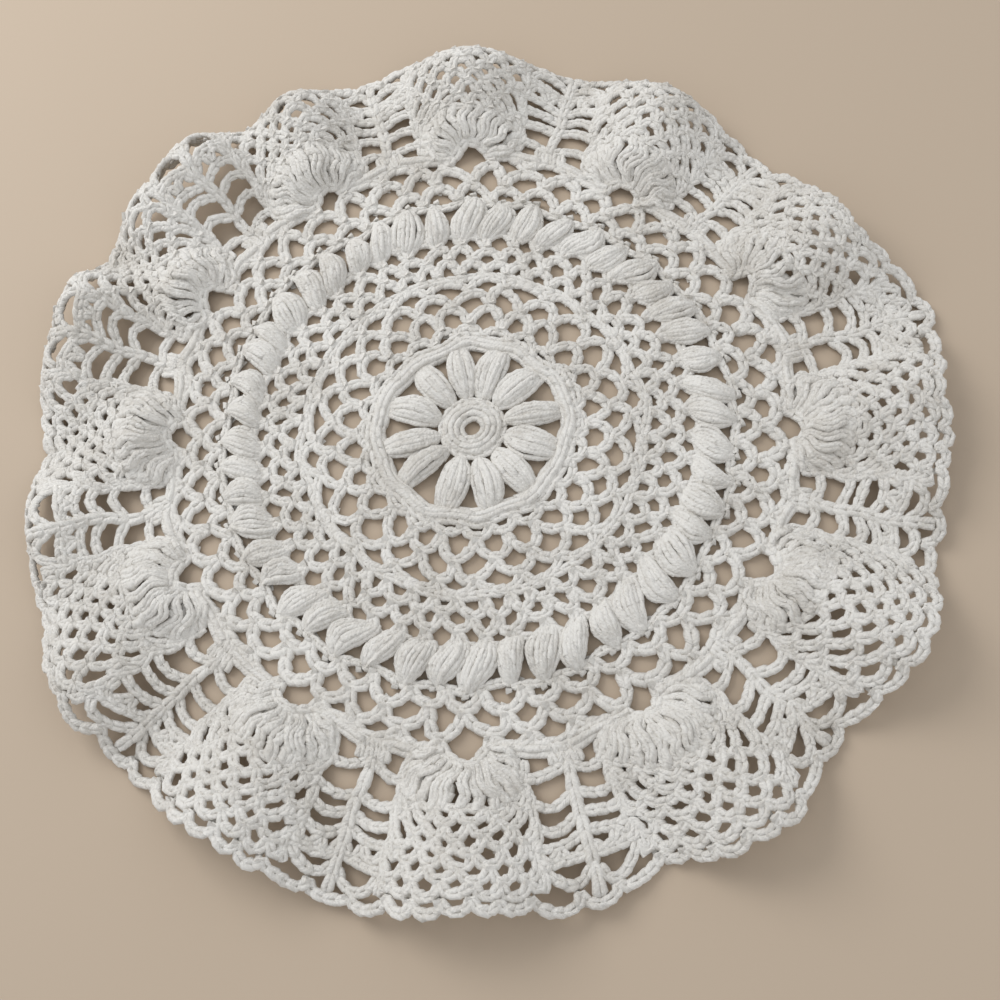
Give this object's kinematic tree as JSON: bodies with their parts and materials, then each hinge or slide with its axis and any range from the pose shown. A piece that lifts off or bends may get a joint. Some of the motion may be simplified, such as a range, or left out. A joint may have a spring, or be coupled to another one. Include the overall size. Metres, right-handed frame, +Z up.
{
  "type": "lace doily",
  "caption": "Round crocheted cotton doily with a flat openwork middle, raised petals and puff stitches, and a ruffled scalloped edge of fans.",
  "frame": {"origin": "under the middle of the doily's box, on the surface that it rests on", "axes": "+Z up from the surface, out of the doily's face; +X from the middle towards a fan foot on the right"},
  "size_m": [0.3428, 0.3374, 0.0238],
  "materials": {
    "cotton": "matt, undyed warm white cotton yarn, crocheted"
  },
  "bodies": {
    "root": {"doily": "cotton"}
  },
  "joints": []
}
